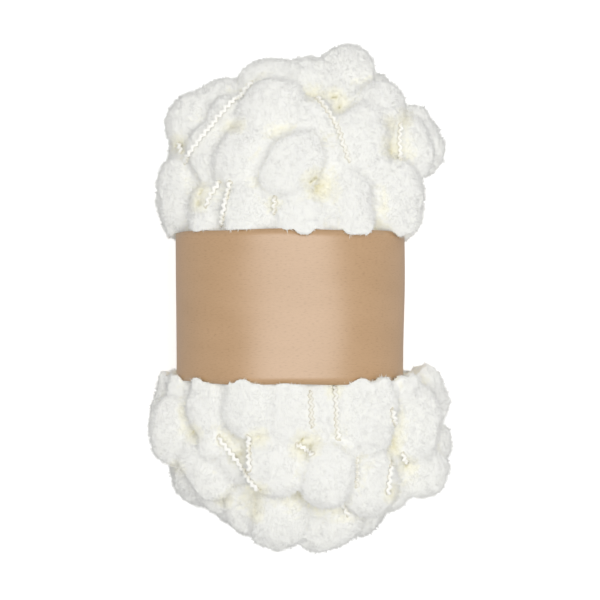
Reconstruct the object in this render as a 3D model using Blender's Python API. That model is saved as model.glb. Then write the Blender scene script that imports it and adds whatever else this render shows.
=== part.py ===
"""A wound hank of pompom string lying on its back, with a paper band round its waist.

X runs across the hank, Y along it and Z up. The hank lies on z = 0, with the origin under its middle.
Every size is in millimetres until it is written to a mesh. There are two closed solids:
  hank  the wound core, the pompoms that show on it, and a bare waist where the band sits
  band  the paper strip round the waist, lapped and glued underneath
"""

import math
import random
from collections import namedtuple

import bmesh
import bpy
from mathutils import Matrix, Vector

MM = 0.001

MID_Z = 48.5  # height of the hank's middle above the floor
BAND_LOW_Y = -36.4
BAND_HIGH_Y = 27.6
BAND_MID_X = -4.0
BAND_HALF_X = 51.0  # outer half sizes of the band's oval
BAND_HALF_Z = 44.0
BAND_WALL = 1.0
BAND_LAP = 16.0  # how far the glued end laps over the start
BAND_SIDES = 96
CLEARANCE = 0.3
WAIST_MORE = 2.0  # the pressed waist runs this far past the band's edges
OVAL_POWER = 2.25  # 2 is an ellipse, more is squarer

POMPOM_POWER = 2.35  # a pompom is a little fuller than an ellipsoid
POMPOM_SIDES = 16
POMPOM_RINGS = 10
CORE_SIDES = 32
VOXEL = 2.0  # the grid on which core and pompoms grow together
KEPT_SHARE = 0.14  # share of the remeshed faces that is kept
FLOOR_BLOCK = 400.0
SEED = 4

Pompom = namedtuple("Pompom", "x y z length width turn")  # turn: degrees clockwise from +Y
Ring = namedtuple("Ring", "y mid_x half_x half_z count first last turn")  # 270 degrees is underneath
Section = namedtuple("Section", "y mid_x half_x half_z")

TOP_END = [
    Pompom(22, 100.5, 54, 24, 24, 0),
    Pompom(34, 90, 40, 23, 21, 50),
    Pompom(-14, 93, 58, 31, 23, 75),
    Pompom(5, 95, 56, 24, 22, 90),
    Pompom(-11.5, 80.5, 74, 32, 25, 40),
    Pompom(-33, 82.5, 52, 28, 21, 50),
    Pompom(-48.5, 79, 54, 25, 21, 15),
    Pompom(-50.5, 46, 56, 39, 26, -3),
    Pompom(-38, 60, 68, 28, 17, -8),
    Pompom(-31, 77.5, 66, 18, 16, 20),
    Pompom(-24, 58, 77, 29, 23.5, 30),
    Pompom(-1.5, 54, 82, 30, 26.5, 35),
    Pompom(3, 71, 73, 25, 24, 90),
    Pompom(34.5, 80.5, 65, 24, 22.5, 60),
    Pompom(25.5, 66.5, 75, 29, 21, 10),
    Pompom(53.5, 71, 45, 32, 20, -20),
    Pompom(50, 66, 58, 26, 16, -15),
    Pompom(32, 53.5, 73, 18, 15, 0),
    Pompom(15.5, 55, 76, 25, 20, -10),
    Pompom(-37, 35, 72, 25, 18, 0),
    Pompom(-22, 35.5, 81, 29, 23, 10),
    Pompom(3, 36, 85, 29, 24, 90),
    Pompom(24, 39, 80, 32, 22.5, -5),
    Pompom(42, 42, 66, 34, 23, -3),
]
BOTTOM_END = [
    Pompom(-56, -58, 60, 32, 21.5, 0),
    Pompom(-55.5, -42, 40, 24, 18, 10),
    Pompom(-49, -41, 62, 20, 15, 0),
    Pompom(-37, -45, 76, 31, 18, 0),
    Pompom(-20.5, -44, 83, 31, 21, 0),
    Pompom(-4.5, -47, 85.5, 29, 19, 0),
    Pompom(11, -47.5, 85, 28, 18, 0),
    Pompom(27.5, -50, 80, 36, 23.5, 0),
    Pompom(42, -39.5, 68, 22, 18, 0),
    Pompom(55, -44.5, 45, 34, 19, -40),
    Pompom(50, -55, 65, 32, 21, 0),
    Pompom(55.5, -78.5, 57, 21, 21.5, 0),
    Pompom(57, -67, 44, 26, 19, 10),
    Pompom(-37, -62.5, 73, 13, 12, 0),
    Pompom(-39.5, -75, 68, 30, 20.5, -35),
    Pompom(-42.5, -84.5, 44, 33, 20, -45),
    Pompom(-9, -70.5, 83, 25, 24, 0),
    Pompom(11.5, -74, 82, 30, 22, -5),
    Pompom(29.5, -79, 70, 26, 21, 0),
    Pompom(41, -82.5, 55, 27, 20, 10),
    Pompom(-24.5, -80, 66, 25, 18, -20),
    Pompom(-26, -94.5, 54, 24, 19.5, 10),
    Pompom(-9, -96.5, 60, 31, 25, 0),
    Pompom(11.5, -101, 55, 30, 23, 60),
    Pompom(29, -95, 42, 26, 21, 30),
]
UNDERSIDE = [
    Ring(94, 3, 15, 15, 2, 225, 315, 90),
    Ring(88, -2, 33, 27, 5, 192, 345, 0),
    Ring(68, -1, 45, 37, 6, 188, 346, 0),
    Ring(41, -5, 46, 38, 7, 193, 344, 0),
    Ring(-50, 0, 49, 38, 7, 195, 346, 0),
    Ring(-75, 2, 45, 36, 6, 192, 346, 0),
    Ring(-90, 0, 28, 22, 4, 200, 340, 0),
    Ring(-96, 1, 15, 14, 2, 225, 315, 90),
]
UNDERSIDE_LENGTH = 33.0
UNDERSIDE_WIDTH = 25.0
LENGTH_LUCK = 3.0  # how far an underside pompom strays from its row, its size and its line
WIDTH_LUCK = 1.5
PLACE_LUCK = 3.0
TURN_LUCK = 25.0
NEAR_FLOOR = 4.0  # an underside pompom that comes this near the floor has settled on to it
SAG = 1.5  # and is pressed flat by this much

CORE = [
    Section(-98, 2, 10, 8),
    Section(-92, 1, 28, 20),
    Section(-80, 0, 43, 31),
    Section(-60, 0, 50, 37),
    Section(BAND_LOW_Y - CLEARANCE, BAND_MID_X, BAND_HALF_X - 4, BAND_HALF_Z - 4),
    Section(BAND_HIGH_Y + CLEARANCE, BAND_MID_X, BAND_HALF_X - 4, BAND_HALF_Z - 4),
    Section(52, -3, 47, 37),
    Section(74, -2, 41, 32),
    Section(90, -2, 27, 20),
    Section(97, 0, 10, 8),
]


def oval_point(degrees, half_x, half_z):
    """A point of a slightly squared oval round the hank's middle line, as (x, z)."""
    across, up = math.cos(math.radians(degrees)), math.sin(math.radians(degrees))
    size = (abs(across) ** OVAL_POWER + abs(up) ** OVAL_POWER) ** (-1 / OVAL_POWER)
    return across * size * half_x, MID_Z + up * size * half_z


def add_loop(shape, y, mid_x, half_x, half_z, sides):
    """The vertices of one closed oval across the hank."""
    loop = []
    for step in range(sides):
        x, z = oval_point(360 * step / sides, half_x, half_z)
        loop.append(shape.verts.new(Vector((x + mid_x, y, z)) * MM))
    return loop


def skin(shape, loops, closed_ends=True):
    """Quads from each loop to the next, with a flat cap at each end."""
    for low, high in zip(loops, loops[1:]):
        for i in range(len(low)):
            after = (i + 1) % len(low)
            shape.faces.new((low[i], high[i], high[after], low[after]))
    if closed_ends:
        shape.faces.new(loops[0])
        shape.faces.new(reversed(loops[-1]))


def fuller(point):
    """A unit ball's point moved out to a slightly boxy ball."""
    size = sum(abs(c) ** POMPOM_POWER for c in point) ** (-1 / POMPOM_POWER)
    return point * size


def add_pompom(shape, pompom):
    made = bmesh.ops.create_uvsphere(
        shape, u_segments=POMPOM_SIDES, v_segments=POMPOM_RINGS, radius=1
    )
    half = (pompom.width / 2, pompom.length / 2, pompom.width / 2)
    place = (
        Matrix.Translation((pompom.x, pompom.y, pompom.z))
        @ Matrix.Rotation(-math.radians(pompom.turn), 4, "Z")
        @ Matrix.Diagonal((*half, 1))
    )
    for vert in made["verts"]:
        vert.co = place @ fuller(vert.co) * MM


def settled(z, radius):
    """The height of a pompom's middle once its weight has brought it down on to the floor."""
    return radius - SAG if z - radius < NEAR_FLOOR else z


def underside_pompoms():
    """The rows under and behind, evenly spaced round each ring and each a little out of line."""
    luck = random.Random(SEED)
    rows = []
    for ring in UNDERSIDE:
        for step in range(ring.count):
            degrees = ring.first + (ring.last - ring.first) * step / (ring.count - 1)
            x, z = oval_point(degrees, ring.half_x, ring.half_z)
            y = ring.y + luck.uniform(-PLACE_LUCK, PLACE_LUCK)
            z += luck.uniform(0, PLACE_LUCK / 2)
            length = UNDERSIDE_LENGTH + luck.uniform(-LENGTH_LUCK, LENGTH_LUCK)
            width = UNDERSIDE_WIDTH + luck.uniform(-WIDTH_LUCK, WIDTH_LUCK)
            turn = ring.turn + luck.uniform(-TURN_LUCK, TURN_LUCK)
            z = settled(z, width / 2)
            rows.append(Pompom(x + ring.mid_x, y, z, length, width, turn))
    return rows


def new_object(name, shape):
    mesh = bpy.data.meshes.new(name)
    bmesh.ops.recalc_face_normals(shape, faces=shape.faces)
    shape.to_mesh(mesh)
    shape.free()
    made = bpy.data.objects.new(name, mesh)
    bpy.context.scene.collection.objects.link(made)
    return made


def keep_result(made):
    """Replaces an object's mesh by what its modifiers make of it."""
    bpy.context.view_layer.update()
    graph = bpy.context.evaluated_depsgraph_get()
    mesh = bpy.data.meshes.new_from_object(made.evaluated_get(graph))
    made.modifiers.clear()
    made.data = mesh


def drop_inner_shells(made):
    """Deletes closed pockets between pompoms, which nobody can reach, and keeps the outer skin."""
    shape = bmesh.new()
    shape.from_mesh(made.data)
    left = set(shape.verts)
    islands = []
    while left:
        island, edge = set(), [left.pop()]
        while edge:
            vert = edge.pop()
            island.add(vert)
            near = [e.other_vert(vert) for e in vert.link_edges]
            fresh = [v for v in near if v in left]
            left.difference_update(fresh)
            edge.extend(fresh)
        islands.append(island)
    islands.sort(key=len)
    inner = [vert for island in islands[:-1] for vert in island]
    bmesh.ops.delete(shape, geom=inner, context="VERTS")
    shape.to_mesh(made.data)
    shape.free()


def floor_cutter():
    """A block under the floor. What it takes away leaves a flat spot under each lowest pompom."""
    shape = bmesh.new()
    bmesh.ops.create_cube(shape, size=FLOOR_BLOCK * MM)
    bmesh.ops.translate(shape, verts=shape.verts, vec=(0, 0, -FLOOR_BLOCK / 2 * MM))
    return new_object("floor_cutter", shape)


def waist_cutter():
    """The room that the band takes, with its clearance on every side."""
    low, high = BAND_LOW_Y - CLEARANCE, BAND_HIGH_Y + CLEARANCE
    room = BAND_WALL + CLEARANCE  # outwards it clears the lap, which stands one wall prouder
    inner = (BAND_MID_X, BAND_HALF_X - room, BAND_HALF_Z - room, BAND_SIDES)
    outer = (BAND_MID_X, BAND_HALF_X + room, BAND_HALF_Z + room, BAND_SIDES)
    shape = bmesh.new()
    loops = [
        add_loop(shape, low, *inner),
        add_loop(shape, high, *inner),
        add_loop(shape, high, *outer),
        add_loop(shape, low, *outer),
    ]
    skin(shape, [*loops, loops[0]], closed_ends=False)
    return new_object("waist_cutter", shape)


def waist_filler():
    """The string under the band, pressed to the band's oval."""
    shape = bmesh.new()
    loops = [
        add_loop(shape, y, BAND_MID_X, BAND_HALF_X - 1, BAND_HALF_Z - 1, BAND_SIDES)
        for y in (BAND_LOW_Y - WAIST_MORE, BAND_HIGH_Y + WAIST_MORE)
    ]
    skin(shape, loops)
    return new_object("waist_filler", shape)


def add_boolean(made, operation, other):
    other.hide_render = True
    other.display_type = "WIRE"
    modifier = made.modifiers.new(other.name, "BOOLEAN")
    modifier.solver = "MANIFOLD"  # the exact solver leaves a few open edges on this many faces
    modifier.operation = operation
    modifier.object = other


def make_hank():
    shape = bmesh.new()
    skin(shape, [add_loop(shape, *section, CORE_SIDES) for section in CORE])
    for pompom in TOP_END + BOTTOM_END + underside_pompoms():
        add_pompom(shape, pompom)
    hank = new_object("hank", shape)
    grown = hank.modifiers.new("grow_together", "REMESH")
    grown.mode = "VOXEL"
    grown.voxel_size = VOXEL * MM
    thinned = hank.modifiers.new("fewer_faces", "DECIMATE")
    thinned.ratio = KEPT_SHARE
    keep_result(hank)
    drop_inner_shells(hank)
    add_boolean(hank, "UNION", waist_filler())
    add_boolean(hank, "DIFFERENCE", waist_cutter())
    add_boolean(hank, "DIFFERENCE", floor_cutter())
    keep_result(hank)
    drop_inner_shells(hank)
    hank.data.shade_smooth()
    return hank


def make_band():
    """A strip bent to the oval. Its end laps over its start underneath, where both are glued."""
    lap_degrees = 360 * BAND_LAP / (math.pi * (BAND_HALF_X + BAND_HALF_Z))
    start = 270 - lap_degrees / 2
    shape = bmesh.new()
    rims = []
    for y in (BAND_LOW_Y, BAND_HIGH_Y):
        inside, outside = [], []
        for step in range(BAND_SIDES):
            turned = 360 * step / BAND_SIDES
            proud = BAND_WALL if turned <= lap_degrees else 0
            for rim, grow in ((inside, -BAND_WALL), (outside, proud)):
                x, z = oval_point(start + turned, BAND_HALF_X + grow, BAND_HALF_Z + grow)
                rim.append(shape.verts.new(Vector((x + BAND_MID_X, y, z)) * MM))
        rims.append((inside, outside))
    (in_low, out_low), (in_high, out_high) = rims
    skin(shape, [in_low, in_high, out_high, out_low, in_low], closed_ends=False)
    return new_object("band", shape)


def finish(made, name, colour, roughness):
    material = bpy.data.materials.new(name)
    material.use_nodes = True
    shader = material.node_tree.nodes["Principled BSDF"]
    shader.inputs["Base Color"].default_value = (*colour, 1)
    shader.inputs["Roughness"].default_value = roughness
    shader.inputs["Metallic"].default_value = 0
    made.data.materials.clear()
    made.data.materials.append(material)


def main():
    for old in list(bpy.data.objects):
        bpy.data.objects.remove(old)
    finish(make_hank(), "pompom_string", (0.84, 0.84, 0.81), 0.95)
    finish(make_band(), "kraft_paper", (0.66, 0.47, 0.32), 0.85)


main()
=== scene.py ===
import math
import random
from collections import namedtuple

import bpy
import numpy as np
from mathutils import Matrix, Vector, noise
from mathutils.bvhtree import BVHTree


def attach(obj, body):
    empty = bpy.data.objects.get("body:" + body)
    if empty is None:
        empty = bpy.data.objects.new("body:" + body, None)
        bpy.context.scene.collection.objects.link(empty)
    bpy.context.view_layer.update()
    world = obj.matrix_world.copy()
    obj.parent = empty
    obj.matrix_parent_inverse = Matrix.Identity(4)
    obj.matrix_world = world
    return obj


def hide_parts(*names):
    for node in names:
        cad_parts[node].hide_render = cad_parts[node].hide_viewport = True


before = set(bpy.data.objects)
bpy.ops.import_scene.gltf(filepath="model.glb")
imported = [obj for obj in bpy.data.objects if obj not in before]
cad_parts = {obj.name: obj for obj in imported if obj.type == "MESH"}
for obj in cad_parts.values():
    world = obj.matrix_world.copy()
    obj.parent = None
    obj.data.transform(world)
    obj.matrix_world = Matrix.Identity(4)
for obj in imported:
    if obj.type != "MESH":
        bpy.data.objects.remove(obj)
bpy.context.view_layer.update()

mm = 0.001
middleZ = 48.5  # height of the hank's middle line, in millimetres as all sizes below
ovalPower = 2.25  # 2 is an ellipse, more is squarer
underneath = 270  # degrees round the hank, from +X up over its front
noiseSeed = 5
noise.seed_set(noiseSeed)  # unset, noise_vector would differ from run to run


# Shared tools

def selectOnly(*objects):
    for obj in list(bpy.context.selected_objects):
        obj.select_set(False)
    for obj in objects:
        obj.select_set(True)
    bpy.context.view_layer.objects.active = objects[0]


def applyModifier(obj, kind, **settings):
    selectOnly(obj)
    modifier = obj.modifiers.new(kind, kind)
    for name, value in settings.items():
        setattr(modifier, name, value)
    bpy.ops.object.modifier_apply(modifier=modifier.name)


def joinAs(name, objects):
    selectOnly(*objects)
    bpy.ops.object.join()
    joined = bpy.context.object
    joined.name = joined.data.name = name
    return joined


def readVectors(mesh, field):
    values = np.empty(len(mesh.vertices) * 3, np.float32)
    mesh.vertices.foreach_get(field, values)
    return values.reshape(-1, 3).astype(float)


def movePoints(mesh, places):
    mesh.vertices.foreach_set("co", places.astype(np.float32).ravel())
    mesh.update()


def writeShare(mesh, name, values):
    layer = mesh.attributes.get(name) or mesh.attributes.new(name, "FLOAT", "POINT")
    layer.data.foreach_set("value", values.astype(np.float32))


def readShare(mesh, name):
    values = np.empty(len(mesh.vertices), np.float32)
    mesh.attributes[name].data.foreach_get("value", values)
    return values


def readMap(mesh):
    uv = np.empty(len(mesh.loops) * 2, np.float32)
    mesh.uv_layers[0].data.foreach_get("uv", uv)
    return uv.reshape(-1, 2).astype(float)


def writeMap(mesh, uv):
    layer = mesh.uv_layers[0] if mesh.uv_layers else mesh.uv_layers.new()
    layer.name = "OFBake"  # the map that the colours are baked through
    layer.data.foreach_set("uv", uv.astype(np.float32).ravel())


def fitMap(mesh, low, high):
    # this mesh's first map, moved into one cell of the sheet
    uv = readMap(mesh)
    uv = (uv - uv.min(0)) / (uv.max(0) - uv.min(0))
    writeMap(mesh, low + uv * (high - low))


def ovalReach(across, up):
    # how far out an oval with half sizes of 1 lies on this heading
    return (abs(across) ** ovalPower + abs(up) ** ovalPower) ** (-1 / ovalPower)


def ovalPoint(degrees, halfX, halfZ):
    across, up = math.cos(math.radians(degrees)), math.sin(math.radians(degrees))
    size = ovalReach(across, up)
    return across * size * halfX, middleZ + up * size * halfZ


def lengthsAlong(points):
    # for each point of a line, how far it is from the line's start
    return np.concatenate([[0], np.cumsum(np.linalg.norm(np.diff(points, axis=0), axis=1))])


def linear(hexColour):
    # an sRGB hex colour as linear light
    shares = [int(hexColour[i:i + 2], 16) / 255 for i in (1, 3, 5)]
    return *[s / 12.92 if s <= 0.04045 else ((s + 0.055) / 1.055) ** 2.4 for s in shares], 1.0


def addNode(tree, kind, settings=None, links=None):
    # sockets go by name, or by number where several share a name, as on a Mix node
    node = tree.nodes.new(kind)
    for name, value in (settings or {}).items():
        if isinstance(name, int) or name in node.inputs:
            node.inputs[name].default_value = value
        else:
            setattr(node, name, value)
    for name, source in (links or {}).items():
        tree.links.new(source, node.inputs[name])
    return node


def addRamp(tree, source, stops):
    node = addNode(tree, "ShaderNodeValToRGB", links={"Fac": source})
    while len(node.color_ramp.elements) < len(stops):
        node.color_ramp.elements.new(0.5)
    for element, (place, colour) in zip(node.color_ramp.elements, stops):
        element.position = place
        element.color = linear(colour)
    return node.outputs["Color"]


def newMaterial(name, **settings):
    material = bpy.data.materials.new(name)
    material.use_nodes = True
    shader = material.node_tree.nodes["Principled BSDF"]
    for socket, value in settings.items():
        shader.inputs[socket.replace("_", " ")].default_value = value
    return material, material.node_tree, shader


def dress(obj, material, slot, *nodes):
    obj.data.materials.clear()
    obj.data.materials.append(material)
    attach(obj, "root")
    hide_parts(*nodes)


# Camera, floor and light

view = {
    "place": (0.45, -1.58, 548),  # straight above the hank's middle
    "lens": 66.5,
    "floorSize": 6000,
    "floorColour": "#FDFDFC",
    "floorGlow": 0.3,  # lit from under, as a product table is
    "sky": 0.42,  # white light from all round
    "keyPlace": (120, 60, 1500),  # a wide soft box overhead
    "keySize": 1500,
    "keyPower": 18.6,  # watts
}

bpy.ops.object.camera_add(location=Vector(view["place"]) * mm)
camera = bpy.context.object
camera.data.lens = view["lens"]
bpy.context.scene.camera = camera

bpy.ops.mesh.primitive_plane_add(size=view["floorSize"] * mm)
floor = bpy.context.object
floor.name = "floor"
floorMaterial, tree, shader = newMaterial("paintedBoard", Roughness=0.9)
shader.inputs["Base Color"].default_value = linear(view["floorColour"])
shader.inputs["Emission Color"].default_value = (1, 1, 1, 1)
shader.inputs["Emission Strength"].default_value = view["floorGlow"]
floor.data.materials.append(floorMaterial)
floor.visible_glossy = False  # the paper's sides would mirror it

world = bpy.data.worlds.new("studio")
world.use_nodes = True
world.node_tree.nodes["Background"].inputs["Color"].default_value = (1, 1, 1, 1)
world.node_tree.nodes["Background"].inputs["Strength"].default_value = view["sky"]
bpy.context.scene.world = world
bpy.context.scene.view_settings.view_transform = "Standard"

bpy.ops.object.light_add(type="AREA", location=Vector(view["keyPlace"]) * mm)
keyLight = bpy.context.object
keyLight.data.size = view["keySize"] * mm
keyLight.data.energy = view["keyPower"]
keyLight.rotation_euler = (-keyLight.location).to_track_quat("-Z", "Y").to_euler()
print("camera, floor and light are up")


# The paper band: a strip round the waist, lapped and glued underneath

Swell = namedtuple("Swell", "share count lean start")  # count: in a turn; lean: radians per mm
band = {
    "lowY": -36.4,
    "highY": 27.6,
    "midX": -4,
    "halfX": 51,  # half sizes of its oval, to the paper's outer face
    "halfZ": 44,
    "lap": 16,
    "lapRise": 0.6,
    "lapClimb": 3,  # over this far the glued end climbs on to the start
    "thick": 0.35,
    "around": 200,  # faces round it
    "along": 20,  # and from edge to edge
    "walkSteps": 2880,  # fine steps in a turn, to measure the oval by
    "bulge": 0.225,  # how unevenly the pile presses it out
    "swells": [Swell(1.0, 2, 0.045, 0.6), Swell(0.7, 5, -0.07, 2.1), Swell(0.4, 9, 0.11, 0)],
    "edgeWave": 0.25,  # how far its edges stray
    "edgeCount": 7,  # waves in a turn
    "edgeShift": 9,  # radians that one edge's waves are ahead of the other's
}


def bandBulge(turned, y):
    # slow, uneven swells, so that the paper isn't a perfect oval
    total = 0
    for swell in band["swells"]:
        total = total + swell.share * np.sin(swell.count * turned + swell.lean * y + swell.start)
    return band["bulge"] * total


def aboveBand(places):
    # how far each point stands out past the paper, in millimetres
    x = (places[:, 0] / mm - band["midX"]) / band["halfX"]
    z = (places[:, 2] / mm - middleZ) / band["halfZ"]
    share = (np.abs(x) ** ovalPower + np.abs(z) ** ovalPower) ** (1 / ovalPower)
    stands = (share - 1) * (band["halfX"] + band["halfZ"]) / 2
    return stands - bandBulge(np.arctan2(z, x), places[:, 1] / mm)


def insideBand(places):
    # how far each point lies in from the nearer edge of the band, in millimetres
    y = places[:, 1] / mm
    return np.minimum(y - band["lowY"], band["highY"] - y)


def makeBand():
    # a flat grid, bent round the oval and thickened inwards
    bpy.ops.mesh.primitive_grid_add(
        x_subdivisions=band["around"], y_subdivisions=band["along"], size=1,
    )
    made = bpy.context.object
    made.name = made.data.name = "paperBand"
    grid = readVectors(made.data, "co")
    along, across = grid[:, 0] + 0.5, grid[:, 1] + 0.5
    # even steps of length round the oval, from a fine walk round it
    degrees = np.linspace(0, 2 * 360, 2 * band["walkSteps"] + 1)
    walk = np.array([ovalPoint(d, band["halfX"], band["halfZ"]) for d in degrees])
    length = lengthsAlong(walk)
    oneTurn = length[band["walkSteps"]]
    paperLength = oneTurn + band["lap"]
    first = np.interp(underneath, degrees, length) - band["lap"] / 2
    reach = first + (1 - along) * paperLength
    turned = np.radians(np.interp(reach, length, degrees))
    lapped = np.clip((reach - first - oneTurn + band["lapClimb"]) / band["lapClimb"], 0, 1)
    y = band["lowY"] + across * (band["highY"] - band["lowY"])
    waves = np.sin(band["edgeCount"] * turned + band["edgeShift"] * across)
    y += band["edgeWave"] * waves * (2 * across - 1)
    up, out = np.sin(turned), np.cos(turned)
    size = ovalReach(out, up)
    grow = bandBulge(np.arctan2(up * size, out * size), y) + lapped * band["lapRise"]
    x = band["midX"] + out * size * (band["halfX"] + grow)
    z = middleZ + up * size * (band["halfZ"] + grow)
    movePoints(made.data, np.stack([x, y, z], 1) * mm)
    width = (band["highY"] - band["lowY"]) / paperLength
    writeMap(made.data, readMap(made.data) * (1, width))  # the paper's own shape, 1 long
    applyModifier(made, "SOLIDIFY", thickness=band["thick"] * mm, offset=-1)
    bpy.ops.object.shade_smooth()
    print("the band is", round(paperLength, 1), "mm long")
    return made, paperLength * mm


# The wound core, hidden by the pompoms and by the band

Section = namedtuple("Section", "y midX halfX halfZ")
core = {
    "sections": [
        Section(-93, 2, 8, 6),
        Section(-86, 1, 22, 15),
        Section(-74, 0, 36, 25),
        Section(-56, 0, 43, 31),
        Section(-40, -2, 45, 36),
        Section(-34, -4, 48, 41),
        Section(25, -4, 48, 41),
        Section(31, -4, 44, 36),
        Section(50, -3, 41, 32),
        Section(70, -2, 35, 26),
        Section(86, -2, 22, 15),
        Section(93, 0, 8, 6),
    ],
    "around": 96,  # faces round it
    "along": 64,  # and from end to end
    "pole": 1e-4,  # this near an end, as a share of the length, lies only the end's own point
}


def makeCore():
    # a ball whose rings are moved out to the sections
    bpy.ops.mesh.primitive_uv_sphere_add(
        segments=core["around"], ring_count=core["along"], radius=1,
    )
    made = bpy.context.object
    ball = readVectors(made.data, "co")
    share = 1 - np.arccos(np.clip(ball[:, 2], -1, 1)) / math.pi
    rows = np.array(core["sections"])
    y = rows[0, 0] + share * (rows[-1, 0] - rows[0, 0])
    midX, halfX, halfZ = [np.interp(y, rows[:, 0], rows[:, column]) for column in (1, 2, 3)]
    turned = np.arctan2(ball[:, 1], ball[:, 0])
    across, up = np.cos(turned), np.sin(turned)
    size = ovalReach(across, up)
    size[np.minimum(share, 1 - share) < core["pole"]] = 0
    places = np.stack([midX + across * size * halfX, y, middleZ + up * size * halfZ], 1)
    movePoints(made.data, places * mm)
    selectOnly(made)
    bpy.ops.object.mode_set(mode="EDIT")
    bpy.ops.mesh.select_all(action="SELECT")
    bpy.ops.mesh.normals_make_consistent(inside=False)
    bpy.ops.object.mode_set(mode="OBJECT")
    return made


# The pompoms

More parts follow.
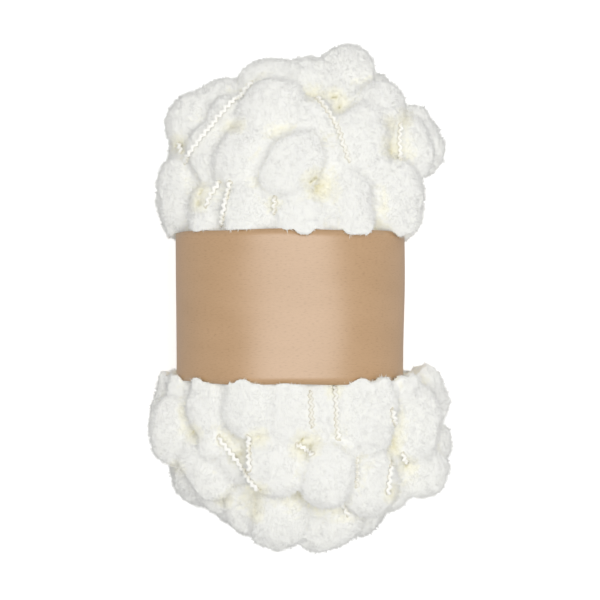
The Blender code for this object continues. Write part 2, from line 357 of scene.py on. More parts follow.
Pompom = namedtuple("Pompom", "x y z length width turn")  # turn: degrees clockwise from +Y
Ring = namedtuple("Ring", "y midX halfX halfZ count first last turn")  # from first to last degrees
Parting = namedtuple("Parting", "x y length width turn dark")  # last field: painted shade in the gap, and how far it sinks; 1 is the darkest and deepest
pompoms = {
    "topEnd": [
        Pompom(21, 99, 54, 23, 23, 0),
        Pompom(32, 90, 42, 23.5, 21, 50),
        Pompom(-12.2, 92.2, 58, 28.5, 21.5, 75),
        Pompom(5, 94, 56, 24, 21.5, 90),
        Pompom(-12, 79, 74, 29, 22, 50),
        Pompom(-36, 83.2, 52, 29, 21, 50),
        Pompom(-47, 78, 54, 24.5, 20, 15),
        Pompom(-49.2, 44.8, 56, 35, 25, 1),
        Pompom(-38, 60, 68, 28, 17, -8),
        Pompom(-31, 77.5, 66, 18, 16, 20),
        Pompom(-22.3, 58, 77.5, 29, 23, 30),
        Pompom(-3, 54.3, 86.5, 30, 21, 42),
        Pompom(3, 71, 73, 25, 24, 90),
        Pompom(33.3, 80, 65, 24, 22, 60),
        Pompom(25.5, 66.5, 75, 29, 21, 10),
        Pompom(53.6, 71.4, 45, 31.5, 18.5, -20),
        Pompom(50, 66, 58, 26, 16, -15),
        Pompom(32, 53.5, 73, 18, 15, 0),
        Pompom(15.5, 55, 76, 25, 20, -10),
        Pompom(-37, 35, 73.5, 25, 18, 0),
        Pompom(-21.3, 33.5, 82, 28, 18.5, 8),
        Pompom(1, 31.5, 83, 24, 21, 90),
        Pompom(21.3, 38, 81.5, 29, 18.5, -5),
        Pompom(41.5, 42.5, 68, 31.5, 22.5, 2),
    ],
    "bottomEnd": [
        Pompom(-54.8, -58.5, 64, 29, 17.5, 0),
        Pompom(-57.3, -49, 45, 31, 17, 6),
        Pompom(-52.5, -37, 48, 17, 15, 15),
        Pompom(-49, -41, 62, 20, 15, 0),
        Pompom(-37, -45, 76, 31, 18, 0),
        Pompom(-20.5, -44, 83, 31, 21, 0),
        Pompom(-4.5, -47, 85.5, 29, 19, 0),
        Pompom(11, -46.5, 83.5, 27, 18, 0),
        Pompom(27.5, -50, 80, 36, 23.5, 0),
        Pompom(42, -39.5, 68, 22, 18, 0),
        Pompom(52, -40.9, 46, 35, 20, -42),
        Pompom(50, -55, 65, 32, 21, 0),
        Pompom(54, -76.8, 57, 21, 21, 0),
        Pompom(57.6, -69, 44, 24, 19, 10),
        Pompom(-36.5, -62.5, 78, 12, 11, 0),
        Pompom(-40, -73.5, 68, 30, 18.5, -35),
        Pompom(-41, -81.8, 50, 31, 19.5, -50),
        Pompom(-10, -70.5, 83, 25.5, 22.5, 0),
        Pompom(12, -73.5, 87.3, 27.5, 20.5, 10),
        Pompom(29.5, -78, 74, 29, 21, 0),
        Pompom(39.5, -81.5, 55, 26, 19, 10),
        Pompom(-24.5, -76, 60, 25, 18, -20),
        Pompom(-23.5, -91.5, 58, 26, 17, -24),
        Pompom(-8.5, -94, 65, 29, 24, 0),
        Pompom(13, -98, 60, 29.5, 22.5, 60),
        Pompom(27.4, -95.2, 42, 27, 21, 50),
    ],
    "underside": [
        Ring(91, 4, 14, 15, 2, 225, 315, 90),
        Ring(80.5, -1, 32, 27, 5, 192, 345, 0),
        Ring(66, 0, 44, 37, 6, 188, 346, 0),
        Ring(43, -4.5, 45, 38, 7, 193, 344, 0),
        Ring(-50, 0, 49, 38, 7, 195, 346, 0),
        Ring(-75, 2, 45, 36, 6, 192, 346, 0),
        Ring(-86, 2, 27, 22, 4, 200, 340, 0),
        Ring(-93, 3, 14, 14, 2, 225, 315, 90),
    ],
    "deep": [  # seen only through the gaps of the rows above
        Pompom(17, 84, 57, 27, 22, 40),
        Pompom(42, 67, 55, 28, 20, -10),
        Pompom(-25, -67, 71, 26, 20, 10),
        Pompom(3, -62, 76, 22, 18, 90),
        Pompom(42, -68, 58, 28, 20, 0),
        Pompom(-46, 62, 52, 26, 20, 0),
        Pompom(-3, 66, 68, 24, 20, 60),
    ],
    "partings": [  # small gaps in the front, where the pile parts, the skin sinks and painted shade darkens it
        Parting(15.7, 86.1, 3.5, 0.8, 114, 1.0),
        Parting(17.4, 82.2, 1.4, 0.9, 0, 1.0),
        Parting(6.8, 85.6, 1.4, 0.8, 90, 0.9),
        Parting(38.3, 63.6, 3, 0.6, 5, 0.9),
        Parting(39, 73.3, 1, 0.5, 90, 0.75),
        Parting(45.8, 76.8, 1.5, 0.8, 30, 0.8),
        Parting(6, 48, 4, 0.8, 50, 1.0),
        Parting(-41.6, 44, 2.5, 0.8, 6, 0.95),
        Parting(-42.3, 39.5, 2, 0.9, 6, 0.95),
        Parting(-27, 71.6, 3.5, 0.2, 95, 0.7),
        Parting(-52.6, 66.5, 3, 1.5, 120, 0.9),
        Parting(14.6, -37.6, 2, 0.6, 10, 0.85),
        Parting(-44.9, -58, 2.5, 1.2, 20, 0.95),
        Parting(-17, -58.3, 2.5, 0.8, 80, 0.75),
        Parting(-25.4, -67, 2.5, 0.8, 60, 0.75),
        Parting(1.3, -59.3, 1.8, 0.9, 30, 0.95),
        Parting(0, -63, 1.2, 0.5, 100, 0.85),
        Parting(5.4, -61.8, 1.5, 0.4, 60, 0.8),
        Parting(-16.3, -80.8, 2, 1.2, 20, 0.8),
        Parting(-52.5, -74.3, 1.5, 0.6, 60, 0.75),
        Parting(47, -73, 1.6, 1.1, 0, 0.95),
        Parting(39, -83, 2, 0.3, 0, 0.75),
        Parting(-18.6, -89, 9, 0.4, 0, 0.6),
        Parting(-32.8, -88.8, 2, 0.6, 50, 0.6),
    ],
    "partingDepth": 2.5,  # how far the skin sinks in the darkest
    "partingEdge": 1.0,  # over this far the painted shade fades out
    "washReach": 7.0,  # and the creamy painted shade round it over this far
    "shadeWash": 0.66,  # and this much painted shade, as if it were shut in
    "undersideLength": 33,
    "undersideWidth": 25,
    "luck": {"length": 3, "width": 1.5, "place": 3, "turn": 25},  # how far the underside's stray
    "nearFloor": 4,  # one of them that hangs lower than this has settled on to the floor
    "sag": 1.5,  # and is pressed this flat
    "seed": 4,
    "cuts": 9,  # cuts across each side of the cube that a ball starts from
    "roundness": 0.88,  # 1 is a true ball, less is a little boxier
    "fuller": (1.12, 1.07),  # the pile's soft reach past each width and length
    "closing": 0.6,  # gaps up to twice this wide are closed by the pile
    "skinFace": 1.4,  # the size of the skin's faces
    "softening": 3,  # rounds of smoothing, which let neighbours run into each other
    "lump": {"size": 13.0, "height": 4.0, "depth": 1},  # depth: how many finer noises go into it
    "tuft": {"size": 3.5, "height": 0.5, "depth": 2},
    "grain": 0.05,  # how far each point of the skin strays in or out
    "bright": 0.5,  # its colour, half way from the pile's dull to its clean
    # light goes through the pile, so its shading is softened
    "asHank": 0.35,  # towards the hank's own round
    "asTop": 0.5,  # and towards its top
}


def undersidePompoms():
    # the rings' pompoms, each strayed a little from an even place
    luck = random.Random(pompoms["seed"])
    spread = pompoms["luck"]
    rows = []
    for ring in pompoms["underside"]:
        for step in range(ring.count):
            degrees = ring.first + (ring.last - ring.first) * step / (ring.count - 1)
            x, z = ovalPoint(degrees, ring.halfX, ring.halfZ)
            y = ring.y + luck.uniform(-spread["place"], spread["place"])
            z += luck.uniform(0, spread["place"] / 2)
            length = pompoms["undersideLength"] + luck.uniform(-spread["length"], spread["length"])
            width = pompoms["undersideWidth"] + luck.uniform(-spread["width"], spread["width"])
            turn = ring.turn + luck.uniform(-spread["turn"], spread["turn"])
            if z - width / 2 < pompoms["nearFloor"]:
                z = width / 2 - pompoms["sag"]
            rows.append(Pompom(x + ring.midX, y, z, length, width, turn))
    return rows


def makeBall():
    # the soft ball that every pompom is copied from
    bpy.ops.mesh.primitive_cube_add(size=2)
    ball = bpy.context.object
    bpy.ops.object.mode_set(mode="EDIT")
    bpy.ops.mesh.select_all(action="SELECT")
    bpy.ops.mesh.subdivide(number_cuts=pompoms["cuts"])
    bpy.ops.object.mode_set(mode="OBJECT")
    # even steps of angle, so that the faces keep one size when the cube turns round
    movePoints(ball.data, np.tan(readVectors(ball.data, "co") * math.pi / 4))
    applyModifier(
        ball, "CAST", cast_type="SPHERE", factor=pompoms["roundness"], radius=0,
        use_radius_as_size=False, size=1,
    )
    bpy.ops.object.shade_smooth()
    return ball


laps = {  # how the pile meets the paper's edges
    "most": 2.4,  # the furthest that it laps over an edge
    "from": 3.0,  # pile this near an edge is drawn over it
    "wide": 5.5,  # from lap to lap, about
    "crisp": 4,  # more gives a lap steeper sides
    "under": 1.2,  # pile further than this under the paper's face stays there
    "clear": 0.4,  # pile that stands out less than this doesn't lap
    "full": 1.5,  # and so much further out it laps in full
    "short": 0.3,  # where it doesn't lap, it ends this far short of the paper
    "overhang": 0.7,  # pile that stands well out leans over the paper, by this share
    "overhangFrom": 4,  # of what stands out past here
    "overhangReach": 9,  # and of no more than this much of it
}


def tuckAtBand(places):
    # pile that would lie on the paper is pressed back by it, and only its tips lap over the edge
    above, inside = aboveBand(places), insideBand(places)
    near = np.flatnonzero((inside > -laps["from"]) & (above > -laps["under"]))
    above, inside = above[near], inside[near]
    edges = places[near] * (1, 0, 1)
    edges[:, 1] = np.sign(places[near, 1])
    tufts = np.array([noise.noise(Vector(edge) / (laps["wide"] * mm)) for edge in edges])
    lap = laps["most"] * (0.5 + 0.5 * np.tanh(laps["crisp"] * tufts))
    lap *= np.clip((above - laps["clear"]) / laps["full"], 0, 1)
    pressedBack = above < laps["clear"]
    lap[pressedBack] = -laps["short"]
    drawn = inside + (lap - inside) * np.clip(1 + inside / laps["from"], 0, 1)
    drawn = np.where(pressedBack, inside, np.maximum(drawn, inside))
    standsOut = np.clip(above - laps["overhangFrom"], 0, laps["overhangReach"])
    leans = lap + laps["overhang"] * standsOut
    moved = (np.minimum(np.where(inside < lap, drawn, inside), leans) - inside) * mm
    lowHalf = places[near, 1] / mm < (band["lowY"] + band["highY"]) / 2
    places[near, 1] += np.where(lowHalf, moved, -moved)


def placePompom(ball, row):
    # a copy of the ball, stretched, turned and moved as its row says
    pompom = ball.copy()
    pompom.data = ball.data.copy()
    bpy.context.collection.objects.link(pompom)
    across = row.width / 2 * pompoms["fuller"][0] + pompoms["closing"]
    along = row.length / 2 * pompoms["fuller"][1] + pompoms["closing"]
    half = Matrix.Diagonal((across, along, across, 1))
    turned = Matrix.Rotation(-math.radians(row.turn), 4, "Z")
    centre = Matrix.Translation((row.x, row.y, row.z))
    pompom.data.transform(Matrix.Scale(mm, 4) @ centre @ turned @ half)
    return pompom


def keepLargest(obj):
    # the union can leave closed bubbles inside: only the outer skin stays
    selectOnly(obj)
    bpy.ops.mesh.separate(type="LOOSE")
    shells = sorted(bpy.context.selected_objects, key=lambda shell: len(shell.data.vertices))
    for shell in shells[:-1]:
        bpy.data.objects.remove(shell)
    return shells[-1]


def partingShares(places):
    # for each point of the front, how much painted shade its parting gives and how far it sinks, and
    # the creamy painted shade of the pile round one
    x, y, z = (places / mm).T
    dark, shadeWash = np.zeros(len(x)), np.zeros(len(x))
    for row in pompoms["partings"]:
        turned = math.radians(row.turn)
        along = (x - row.x) * math.sin(turned) + (y - row.y) * math.cos(turned)
        across = (x - row.x) * math.cos(turned) - (y - row.y) * math.sin(turned)
        pastEnd = np.maximum(np.abs(along) - row.length / 2, 0)
        pastSide = np.maximum(np.abs(across) - row.width / 2, 0)
        far = np.hypot(pastEnd, pastSide)
        dark = np.maximum(dark, row.dark * np.clip(1 - far / pompoms["partingEdge"], 0, 1))
        shadeWash = np.maximum(shadeWash, pompoms["shadeWash"] * np.clip(1 - far / pompoms["washReach"], 0, 1))
    front = z > middleZ
    return dark * front, shadeWash * front


def makeSkin():
    # the core and all pompoms, run together into one closed skin
    ball = makeBall()
    rows = pompoms["topEnd"] + pompoms["bottomEnd"] + pompoms["deep"] + undersidePompoms()
    skin = joinAs("pileSkin", [makeCore(), *(placePompom(ball, row) for row in rows)])
    bpy.data.objects.remove(ball)
    applyModifier(
        skin, "REMESH", mode="VOXEL", voxel_size=pompoms["skinFace"] * mm, use_smooth_shade=True,
    )
    skin = keepLargest(skin)
    applyModifier(skin, "SMOOTH", factor=0.5, iterations=pompoms["softening"])
    applyModifier(skin, "DISPLACE", strength=-pompoms["closing"] * mm, mid_level=0)
    for name in ("lump", "tuft"):
        shape = pompoms[name]
        texture = bpy.data.textures.new(name, "CLOUDS")
        texture.noise_scale = shape["size"] * mm
        texture.noise_depth = shape["depth"]
        height = shape["height"] * mm
        applyModifier(skin, "DISPLACE", texture=texture, texture_coords="LOCAL", strength=height)
    rng = np.random.default_rng(pompoms["seed"])
    places, normals = readVectors(skin.data, "co"), readVectors(skin.data, "normal")
    places += normals * rng.uniform(-pompoms["grain"], pompoms["grain"], (len(places), 1)) * mm
    dark = partingShares(places)[0]
    places[:, 2] -= dark * pompoms["partingDepth"] * mm
    tuckAtBand(places)
    places[:, 2] = np.maximum(places[:, 2], 0)
    movePoints(skin.data, places)
    skin.name = skin.data.name = "pileSkin"
    print(len(rows), "pompoms are pressed together,", len(skin.data.polygons), "faces")
    return skin


seams = {  # how the places between pompoms are found, to be darker and creamier with painted shade
    "reach": 16,  # nothing further off shuts a place in
    "rays": 26,
    "start": 0.9,  # the rays start this far out of the skin
    "facing": 0.2,  # and flatter ones than this don't count
}


def creviceShares(places, normals, tree):
    # how much of the open air round a point is blocked by other pompoms, from 0 to 1
    goldenTurn = math.pi * (3 - math.sqrt(5))  # spreads the rays evenly over a ball
    rays = []
    for step in range(seams["rays"]):
        up = 1 - 2 * (step + 0.5) / seams["rays"]
        level = math.sqrt(1 - up * up)
        turned = goldenTurn * step
        rays.append(Vector((level * math.cos(turned), level * math.sin(turned), up)))
    facing = normals @ np.array(rays).T
    starts = [Vector(p) for p in places + normals * seams["start"] * mm]
    shares = np.zeros(len(places))
    for i, start in enumerate(starts):
        blocked = total = 0
        for k in np.flatnonzero(facing[i] > seams["facing"]):
            total += 1
            blocked += tree.ray_cast(start, rays[k], seams["reach"] * mm)[0] is not None
        shares[i] = blocked / max(total, 1)
    return shares


wrap = {  # the map that goes round the hank and along it
    "axis": (-62, 58),  # the middle line, with a round end past either end of it
    "endRound": 40,
    "reach": 130,  # from the middle to either end, over the ends
}


def wrapMap(places):
    # round the hank and along it, over its ends too; a quarter turn on puts the seam underneath
    x, y, z = (places / mm).T
    axisY = np.clip(y, *wrap["axis"])
    out = np.hypot(x, z - middleZ)
    turnShare = (np.arctan2(z - middleZ, x) / math.tau + 0.25) % 1
    along = axisY + wrap["endRound"] * np.arctan2(y - axisY, out)
    return np.stack([turnShare, (along + wrap["reach"]) / (2 * wrap["reach"])], 1)


def mapSkin(mesh):
    # the wrapped map at each corner, with the faces across the seam kept whole
    corners = np.empty(len(mesh.loops), np.int32)
    mesh.loops.foreach_get("vertex_index", corners)
    uv = wrapMap(readVectors(mesh, "co"))[corners]
    for face in mesh.polygons:
        loops = list(face.loop_indices)
        turnShare = uv[loops, 0]
        if turnShare.max() - turnShare.min() > 0.5:  # it crosses the seam
            uv[loops, 0] = np.where(turnShare > 0.5, turnShare, 1)
    writeMap(mesh, uv)


def treeOf(*objects):
    # these surfaces, to measure from
    points, faces = [], []
    for obj in objects:
        faces += [[len(points) + corner for corner in face.vertices] for face in obj.data.polygons]
        points += [vertex.co for vertex in obj.data.vertices]
    return BVHTree.FromPolygons(points, faces)


def softened(places, normals):
    # normals leant towards the way out of the hank
    outward = places / mm
    outward[:, 1] -= np.clip(outward[:, 1], *wrap["axis"])
    outward[:, 2] -= middleZ
    outward /= np.linalg.norm(outward, axis=1)[:, None]
    soft = normals + outward * pompoms["asHank"] + np.array((0, 0, pompoms["asTop"]))
    return soft / np.linalg.norm(soft, axis=1)[:, None]


def shadeSoftly(mesh, normals):
    # these normals, one for each point, are softened and become the mesh's own
    mesh.normals_split_custom_set_from_vertices(softened(readVectors(mesh, "co"), normals))


skin = makeSkin()
skinTree = treeOf(skin)
skinPlaces = readVectors(skin.data, "co")
shutIn = creviceShares(skinPlaces, readVectors(skin.data, "normal"), skinTree)
dark, shadeWash = partingShares(skinPlaces)
# painted shade: how shut in each point is, with the partings and the creamy shade round them, sets
# how much darker and creamier its colour is
writeShare(skin.data, "creviceShade", np.maximum(np.maximum(shutIn, shadeWash), dark))
writeShare(skin.data, "bright", np.full(len(skinPlaces), pompoms["bright"]))
mapSkin(skin.data)
shadeSoftly(skin.data, readVectors(skin.data, "normal"))
print("the seams are shaded")


# The carrier cord: a narrow white plait, seen where it crosses from pompom to pompom. It is made as a
# zigzag strand over a thinner, nearly straight one, which is all that shows of it at this size

Route = namedtuple("Route", "stands points")  # how far it stands out of the skin, and its x and y
plait = {
    "swing": 0.85,  # how far the upper strand swings to each side, in sharp teeth
    "lift": 0.15,  # how far it lies above the cord's middle, and the lower strand below
    "strand": 0.62,  # the upper strand's radius
    "lower": 0.75,  # the lower strand's share of it
    "clear": 1.9,  # this far out of the pile's skin it is at its whitest; nearer in, painted shade greys it
    "pitch": 2.8,  # from tooth to tooth along one edge
    "stray": 0.35,  # how far the cord strays from its even run
    "strayLength": 2.3,  # and over what length
    "behind": 0.1,  # share of the swing that the lower strand has, the other way
    "step": 0.42,  # from point to point along it
    "rounding": 30,  # rounds of smoothing, for its bends
    "dropFrom": 150,  # a front cord is dropped on to the pile from this height
    "pressFrom": 120,  # and one round the back is pressed on to it from this far out
    "stands": 1.3,  # how far the cords round the back stand out of the skin
    "steepest": 0.45,  # on sides of a pompom that are steeper than this, a cord stands off no more
    "relax": 12,  # rounds of pulling taut
    "dips": 4.5,  # how deep each end goes into the pile
    "dipLength": 2.2,
    "dipPower": 1.5,  # 1 would be a straight way down
    "frontTop": [
        Route(1.3, [(-19.5, 93.8), (-35.2, 75.9), (-50, 57)]),
        Route(1.2, [(-53, 68.3), (-51.6, 62)]),
        Route(0.9, [(-32.9, 49), (-37, 43), (-39.5, 36.4)]),
        Route(1.2, [(-28.5, 48.5), (-30.7, 39), (-32.5, 29)]),
        Route(0.6, [(5.5, 87), (10.5, 80), (15.4, 73.2), (21.5, 55)]),
        Route(0.9, [(44, 76), (44, 57.5)]),
        Route(0.5, [(-10.2, 42.5), (-10, 33)]),
    ],
    "frontBottom": [
        Route(1.3, [(-34.7, -58.5), (-27, -68), (-16.5, -80.5)]),
        Route(1.3, [(-21, -56.5), (-20.5, -72.5)]),
        Route(1.2, [(-55.5, -73), (-43, -87)]),
        Route(1.0, [(38.2, -46), (40.9, -56)]),
        Route(1.2, [(39.2, -70.3), (37, -83.9)]),
        Route(1.2, [(44, -66), (47, -73)]),
        Route(0.5, [(24.1, -66), (24.1, -81)]),
        Route(1.0, [(18.5, -87.9), (21.6, -95.4)]),
        Route(0.6, [(14.7, -36), (16.4, -60.4)]),
        Route(0.5, [(4.5, -38), (5.5, -55)]),
        Route(0.9, [(-2.4, -60.4), (6.8, -65.4)]),
    ],
    "backTop": [(36, 58), (60, 80)],  # from and to, along the hank
    "backBottom": [(-44, -64), (-66, -86)],
    "backDegrees": [192, 214, 238, 262, 286, 310, 334],
    "backLean": 7,  # degrees that such a cord strays round the hank
    "seed": 3,
    "mapMargin": 0.01,  # left free round each cord's cell on the map
}


def smoothLine(points):
    # a fine walk from point to point, with its corners rounded
    points = np.array(points, float)
    far = lengthsAlong(points)
    steps = np.arange(0, far[-1] + plait["step"], plait["step"])
    line = np.stack([np.interp(steps, far, column) for column in points.T], 1)
    for _ in range(plait["rounding"]):
        line[1:-1] = (line[:-2] + line[1:-1] * 2 + line[2:]) / 4
    return line


def layCord(starts, inward, stands):
    # the line drops on to the pile, is pulled a little taut, and goes in at both ends
    reach = np.full(len(starts), np.nan)
    for i, (start, way) in enumerate(zip(starts, inward)):
        hit = skinTree.ray_cast(Vector(start) * mm, Vector(way))
        if hit[0] is not None:
            slope = max(-hit[1].dot(Vector(way)), plait["steepest"])
            reach[i] = hit[3] / mm - stands / slope
    known = ~np.isnan(reach)
    reach = np.interp(np.arange(len(reach)), np.flatnonzero(known), reach[known])
    for _ in range(plait["relax"]):
        reach[1:-1] = np.minimum(reach[1:-1], (reach[:-2] + reach[2:]) / 2)
    fromEnd = np.minimum(np.arange(len(reach)), np.arange(len(reach))[::-1]) * plait["step"]
    reach += plait["dips"] * np.clip(1 - fromEnd / plait["dipLength"], 0, 1) ** plait["dipPower"]
    return starts + inward * reach[:, None]


def plaitStrands(line, inward, phase):
    # the middle lines of the upper and the lower strand
    along = np.gradient(line, axis=0)
    along /= np.linalg.norm(along, axis=1)[:, None]
    side = np.cross(along, -inward)
    side /= np.linalg.norm(side, axis=1)[:, None]
    out = np.cross(side, along)
    turned = math.tau * (lengthsAlong(line) / plait["pitch"] + phase)
    tooth = side * (plait["swing"] * np.arcsin(np.sin(turned)) * 2 / math.pi)[:, None]
    lift = out * plait["lift"]
    strays = np.array([noise.noise_vector(Vector(point) / plait["strayLength"]) for point in line])
    middle = line + strays * plait["stray"]
    return [middle + tooth + lift, middle - tooth * plait["behind"] - lift]


def makePlait(strands):
    # both strands as round tubes in one mesh
    curve = bpy.data.curves.new("plait", "CURVE")
    curve.dimensions = "3D"
    curve.bevel_depth = plait["strand"] * mm
    curve.bevel_resolution = 1
    curve.use_fill_caps = True
    for strand, share in zip(strands, (1, plait["lower"])):
        strand[:, 2] = np.maximum(strand[:, 2], plait["strand"])  # none goes into the floor
        spline = curve.splines.new("POLY")
        spline.points.add(len(strand) - 1)
        places = np.column_stack([strand * mm, np.ones(len(strand))])
        spline.points.foreach_set("co", places.ravel())
        spline.points.foreach_set("radius", np.full(len(strand), share))
    made = bpy.data.objects.new("plait", curve)
    bpy.context.collection.objects.link(made)
    selectOnly(made)
    bpy.ops.object.convert(target="MESH")
    bpy.ops.object.shade_smooth()
    return made


def frontCords(routes, luck):
    # the cords of the front, laid from above
    cords = []
    for route in routes:
        line = smoothLine(route.points)
        starts = np.column_stack([line, np.full(len(line), float(plait["dropFrom"]))])
        inward = np.tile((0.0, 0.0, -1.0), (len(line), 1))
        laid = layCord(starts, inward, route.stands)
        cords.append(makePlait(plaitStrands(laid, inward, luck.random())))
    return cords


def backCords(reaches, luck):
    # cords round the sides and the back, laid from all round
    cords = []
    for number, degrees in enumerate(plait["backDegrees"]):
        first, last = reaches[number % len(reaches)]
        lean = luck.uniform(-plait["backLean"], plait["backLean"])
        line = smoothLine([(first, degrees - lean), (last, degrees + lean)])
        turned = np.radians(line[:, 1])
        inward = -np.column_stack([np.cos(turned), np.zeros(len(line)), np.sin(turned)])
        middle = np.column_stack([np.zeros(len(line)), line[:, 0], np.full(len(line), middleZ)])
        laid = layCord(middle - inward * plait["pressFrom"], inward, plait["stands"])
        cords.append(makePlait(plaitStrands(laid, inward, luck.random())))
    return cords


def riseShares(places):
    # how far each point stands out of the pile's skin, from 0 in it to 1 well clear of it, for the
    # cord's painted shade
    rises = []
    for place in places:
        found, normal = skinTree.find_nearest(Vector(place))[:2]
        rises.append((Vector(place) - found).dot(normal) / mm)
    return np.clip(np.array(rises) / plait["clear"], 0, 1)


def makeCords():
    luck = random.Random(plait["seed"])
    margin = plait["mapMargin"]
    pieces = []
    for name, cords in (
        ("cordFrontTop", frontCords(plait["frontTop"], luck)),
        ("cordFrontBottom", frontCords(plait["frontBottom"], luck)),
        ("cordBackTop", backCords(plait["backTop"], luck)),
        ("cordBackBottom", backCords(plait["backBottom"], luck)),
    ):
        cells = math.ceil(math.sqrt(len(cords)))
        for k, cord in enumerate(cords):
            low = np.array([k % cells, k // cells]) / cells
            fitMap(cord.data, low + margin, low + 1 / cells - margin)
        piece = joinAs(name, cords)
        # painted shade: the cord is greyer where it lies down in the pile
        writeShare(piece.data, "rise", riseShares(readVectors(piece.data, "co")))
        shadeSoftly(piece.data, readVectors(piece.data, "normal"))
        pieces.append(piece)
    print("cords:", sum(len(piece.data.polygons) for piece in pieces), "faces")
    return pieces


cords = makeCords()
cordTree = treeOf(*cords)


# The pile's ends: one thin spike, copied all over the skin

fibres = {
    "count": 190000,  # before those that would reach the paper, a cord or the floor are left out
    "thick": 0.2,  # a spike's radius at its root
    "thickLuck": (0.7, 1.2),  # shares of it
    "short": 0.8,  # the shortest and the longest, from the root
    "long": 2.9,
    "sunk": 0.4,  # its root is this far under the skin
    "nearPaper": 2.5,  # this near the band the ends are shorter
    "nearPaperShare": 0.7,
    "underPaper": 1,  # none grow further than this under the paper
    # no spike reaches nearer to the paper than this
    "clearOfEdge": 0.1,
    "clearOver": 0.3,
    "clearUnder": 2,
    "clearOfCord": 0.8,  # none grow this near the carrier cord, which presses them flat
    "clump": 2.6,  # ends within this reach lean the same way
    "lean": 0.7,  # how far, 0 being straight out
    "stray": 0.75,  # and how far each by its own chance
    "tufted": 0.8,  # by this share the ends of one clump are longer or shorter together
    "patch": 2.2,  # ends within this reach are brighter or duller together
    "patchy": 0.4,
    "speckle": 0.1,  # and how much each by its own chance
    "deepest": 0.93,  # none grow where the skin is shut in more than this
    "mapSize": 0.0015,  # half the size of a spike's patch on the map
    "seed": 7,
    "sectors": 8,
}


def growingPlaces(mesh, rng):
    # where the ends grow: place, normal and shade, spread evenly over what shows
    mesh.calc_loop_triangles()
    corners = np.empty(len(mesh.loop_triangles) * 3, np.int32)
    area = np.empty(len(mesh.loop_triangles), np.float32)
    mesh.loop_triangles.foreach_get("vertices", corners)
    mesh.loop_triangles.foreach_get("area", area)
    corners = corners.reshape(-1, 3)
    shade = readShare(mesh, "creviceShade")
    places = readVectors(mesh, "co")
    middles = places[corners].mean(1)
    covered = (insideBand(middles) > fibres["underPaper"]) & (aboveBand(middles) < 0)
    weight = area * (shade[corners].max(1) < fibres["deepest"]) * ~covered
    picked = rng.choice(len(weight), fibres["count"], p=weight / weight.sum())
    part = rng.dirichlet((1, 1, 1), len(picked))
    print("fibre ends to a mm2:", round(fibres["count"] / (weight.sum() / mm / mm), 2))
    fields = []
    for values in (places, readVectors(mesh, "normal"), shade[:, None]):
        fields.append((values[corners[picked]] * part[:, :, None]).sum(1))
    return fields


def spikePlaces(points, roots, normals, rng):
    # each corner of every spike: they lean together in clumps, and each strays a little
    clumps = np.array([noise.noise_vector(Vector(root) / (fibres["clump"] * mm)) for root in roots])
    heading = normals + clumps * fibres["lean"] + rng.normal(0, fibres["stray"], roots.shape)
    heading /= np.linalg.norm(heading, axis=1)[:, None]
    anyWay = (0.31, 0.52, 0.8)  # only to find a way across the heading
    level = np.cross(heading, anyWay)
    level /= np.linalg.norm(level, axis=1)[:, None]
    upright = np.cross(heading, level)
    length = rng.uniform(fibres["short"], fibres["long"], len(roots))
    length *= 1 + fibres["tufted"] * clumps[:, 0]
    length[insideBand(roots) > -fibres["nearPaper"]] *= fibres["nearPaperShare"]
    thick = fibres["thick"] * rng.uniform(*fibres["thickLuck"], len(roots))
    places = np.empty((len(roots), len(points), 3))
    for k, (x, y, z) in enumerate(points):
        along = z * length - fibres["sunk"]
        places[:, k] = roots + mm * (
            level * (x * thick)[:, None] + upright * (y * thick)[:, None] + heading * along[:, None]
        )
    return places


def tuftMesh(name, spike, points, places, normals, shade, uv, bright):
    # these spikes as one mesh, each shaded as the skin under it, for a soft pile
    faces = [list(face.vertices) for face in spike.data.polygons]
    starts = np.arange(len(places))[:, None] * len(points)
    allFaces = np.concatenate([starts + face for face in faces], 1)
    allFaces = allFaces.reshape(len(places) * len(faces), -1)
    mesh = bpy.data.meshes.new(name)
    mesh.from_pydata(places.reshape(-1, 3).tolist(), [], allFaces.tolist())
    mapped = uv[:, None, :] + points[None, :, :2] * fibres["mapSize"]
    writeMap(mesh, mapped.reshape(-1, 2)[allFaces.ravel()])
    # each spike takes the painted shade of the skin at its root
    writeShare(mesh, "creviceShade", np.repeat(shade[:, 0], len(points)))
    writeShare(mesh, "bright", np.repeat(bright, len(points)))
    tufts = bpy.data.objects.new(name, mesh)
    bpy.context.collection.objects.link(tufts)
    selectOnly(tufts)
    bpy.ops.object.shade_smooth()
    shadeSoftly(mesh, np.repeat(normals, len(points), 0))
    tufts.visible_shadow = tufts.visible_diffuse = False  # light goes through fibres this fine
    return tufts


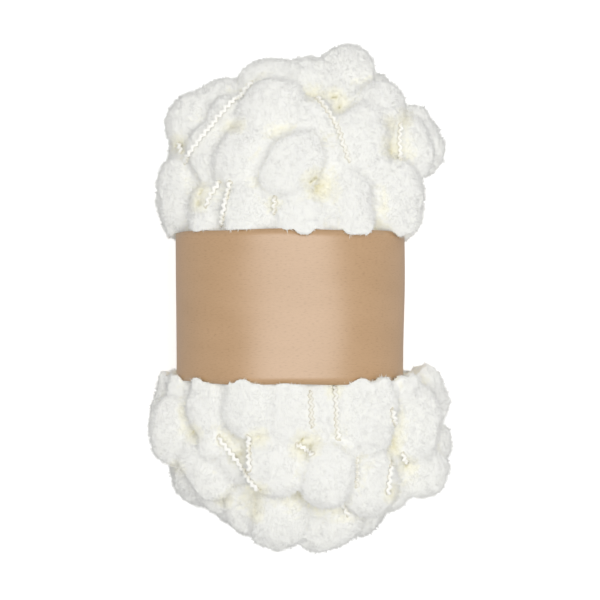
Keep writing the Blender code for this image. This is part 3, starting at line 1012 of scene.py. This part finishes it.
def growPile(skin):
    # a cone of three sides, 1 long, is copied to every root and stretched there
    bpy.ops.mesh.primitive_cone_add(
        vertices=3, radius1=1, radius2=0, depth=1, location=(0, 0, 0.5),
    )
    spike = bpy.context.object
    bpy.ops.object.transform_apply(location=True, rotation=False, scale=False)
    points = readVectors(spike.data, "co")
    rng = np.random.default_rng(fibres["seed"])
    roots, normals, shade = growingPlaces(skin.data, rng)
    places = spikePlaces(points, roots, normals, rng)
    corners = places.reshape(-1, 3)
    above = aboveBand(corners)
    inPaper = (insideBand(corners) > -fibres["clearOfEdge"]) & (above < fibres["clearOver"])
    inPaper &= above > -fibres["clearUnder"]
    inFloor = corners[:, 2] < 0
    kept = ~(inPaper | inFloor).reshape(len(roots), -1).any(1)
    clear = fibres["clearOfCord"] * mm
    kept &= [cordTree.find_nearest(Vector(root), clear)[0] is None for root in roots]
    uv = wrapMap(roots)
    patches = np.array([noise.noise(Vector(root) / (fibres["patch"] * mm)) for root in roots])
    chance = rng.uniform(-1, 1, len(roots))
    bright = pompoms["bright"] + fibres["patchy"] * patches + fibres["speckle"] * chance
    bright = np.clip(bright, 0, 1)
    sector = (uv[:, 0] * fibres["sectors"]).astype(int)
    pieces = []
    for number in range(fibres["sectors"]):
        own = kept & (sector == number)
        pieces.append(tuftMesh(
            f"pileEnds{number:02d}", spike, points, places[own], normals[own], shade[own], uv[own],
            bright[own],
        ))
    bpy.data.objects.remove(spike)
    print("the pile has", kept.sum(), "ends in", len(pieces), "pieces")
    return pieces


pileEnds = growPile(skin)


# The finishes, with their grains' sizes in millimetres

pileFinish = {
    "mottle": 1.8,  # the size of tufts that differ a little in colour
    "mottled": 0.3,  # and how much they do
    # painted shade, darker and creamier from the open pile down to where pompoms shut it in; "bright"
    # says how far between the two
    "dull": [
        (0.3, "#E4E4DE"), (0.45, "#E6E4D6"), (0.6, "#E3E0CC"), (0.75, "#D6D1B2"), (0.86, "#AEA888"),
    ],
    "clean": [
        (0.3, "#FAFAF6"), (0.45, "#FAF9EC"), (0.6, "#F7F4E2"), (0.75, "#ECE8CE"), (0.86, "#CAC4A4"),
    ],
}


def pileMaterial():
    # polyester chenille pile, cut short: matt and soft, white at its tips, with painted shade, darker
    # and creamier, where shut in
    material, tree, shader = newMaterial(
        "polyesterChenillePile", Roughness=1.0, Sheen_Weight=0.7, Sheen_Roughness=0.5,
        Specular_IOR_Level=0.1, Subsurface_Weight=0.25, Subsurface_Radius=(1, 1, 0.9),
        Subsurface_Scale=1.5 * mm,
    )
    place = addNode(tree, "ShaderNodeTexCoord").outputs["Object"]
    # the shut-in share brings painted shade: both ramps go darker and creamier with it
    creviceShade = addNode(tree, "ShaderNodeAttribute", {"attribute_name": "creviceShade"}).outputs["Fac"]
    bright = addNode(tree, "ShaderNodeAttribute", {"attribute_name": "bright"}).outputs["Fac"]
    mottle = addNode(
        tree, "ShaderNodeTexNoise", {"Scale": 1 / (pileFinish["mottle"] * mm), "Detail": 3},
        {"Vector": place},
    ).outputs["Fac"]
    mixed = addNode(
        tree, "ShaderNodeMix", {0: pileFinish["mottled"]}, {2: creviceShade, 3: mottle},
    ).outputs[0]
    dull = addRamp(tree, mixed, pileFinish["dull"])
    clean = addRamp(tree, mixed, pileFinish["clean"])
    colour = addNode(
        tree, "ShaderNodeMix", {"data_type": "RGBA"}, {0: bright, 6: dull, 7: clean},
    ).outputs[2]
    tree.links.new(colour, shader.inputs["Base Color"])
    return material


plaitFinish = {
    "ply": 0.7,  # its yarns are about 0.3 thick, and are drawn this coarse to show
    "plied": 0.15,  # how much they show
    # painted shade: greyer down in the pile, whitest well clear of it
    "colours": [(0.1, "#CBC6B4"), (0.35, "#DBD7C8"), (0.6, "#ECEAE0"), (0.85, "#F6F5F0")],
}


def plaitMaterial():
    # bleached cotton, plaited hard: white, smoother than the pile, with painted shade greying it down
    # beside it
    material, tree, shader = newMaterial(
        "bleachedCottonPlait", Roughness=0.7, Sheen_Weight=0.3, Specular_IOR_Level=0.3,
    )
    place = addNode(tree, "ShaderNodeTexCoord").outputs["Object"]
    ply = addNode(
        tree, "ShaderNodeTexNoise", {"Scale": 1 / (plaitFinish["ply"] * mm), "Detail": 2},
        {"Vector": place},
    ).outputs["Fac"]
    rise = addNode(tree, "ShaderNodeAttribute", {"attribute_name": "rise"}).outputs["Fac"]
    mixed = addNode(
        tree, "ShaderNodeMix", {0: plaitFinish["plied"]}, {2: rise, 3: ply},
    ).outputs[0]
    colour = addRamp(tree, mixed, plaitFinish["colours"])
    tree.links.new(colour, shader.inputs["Base Color"])
    return material


paperFinish = {
    # each grain's size round the band and along the hank, and the detail in it
    "cloud": (30, 12, 3),  # where the sheet is thicker and thinner
    "fleck": (1.7, 0.5, 2),  # its fibres, drawn many times as thick as they are to show
    "tooth": (0.9, 0.6, 2),  # and the same in its relief
    "cloudColours": [(0.3, "#B8946D"), (0.7, "#C09C76")],
    "fleckColours": [(0.3, "#946F4B"), (0.42, "#B8946D"), (0.66, "#C09C76")],
    "flecked": 0.35,  # how much the fibres show
    "relief": 0.05,  # how deep the tooth is
}


def kraftMaterial(length):
    # unbleached kraft, machine glazed: brown, its fibres lying round the band, with a broad low gloss
    material, tree, shader = newMaterial(
        "brownKraftPaper", Roughness=0.38, Specular_IOR_Level=1.0,
    )
    flat = addNode(tree, "ShaderNodeUVMap", {"uv_map": "OFBake"}).outputs["UV"]

    def grain(longWay, crossWay, detail):
        # a noise whose grains have this size on the paper, which is as long as the map's whole width
        scale = (length / longWay, length / crossWay, 1)
        stretched = addNode(tree, "ShaderNodeMapping", {"Scale": scale}, {"Vector": flat})
        made = addNode(
            tree, "ShaderNodeTexNoise", {"Scale": 1.0, "Detail": detail},
            {"Vector": stretched.outputs["Vector"]},
        )
        return made.outputs["Fac"]

    cloudy = addRamp(tree, grain(*paperFinish["cloud"]), paperFinish["cloudColours"])
    flecks = addRamp(tree, grain(*paperFinish["fleck"]), paperFinish["fleckColours"])
    colour = addNode(
        tree, "ShaderNodeMix", {"data_type": "RGBA", 0: paperFinish["flecked"]},
        {6: cloudy, 7: flecks},
    ).outputs[2]
    tree.links.new(colour, shader.inputs["Base Color"])
    tooth = addNode(
        tree, "ShaderNodeBump", {"Strength": 0.25, "Distance": paperFinish["relief"] * mm},
        {"Height": grain(*paperFinish["tooth"])},
    )
    tree.links.new(tooth.outputs["Normal"], shader.inputs["Normal"])
    return material


polyester = pileMaterial()
for piece in [skin, *pileEnds]:
    dress(piece, polyester, "pompom_string", "hank")

cotton = plaitMaterial()
for piece in cords:
    dress(piece, cotton, "carrier_cord", "hank")

paper, paperLength = makeBand()
dress(paper, kraftMaterial(paperLength / mm), "kraft_paper", "band")
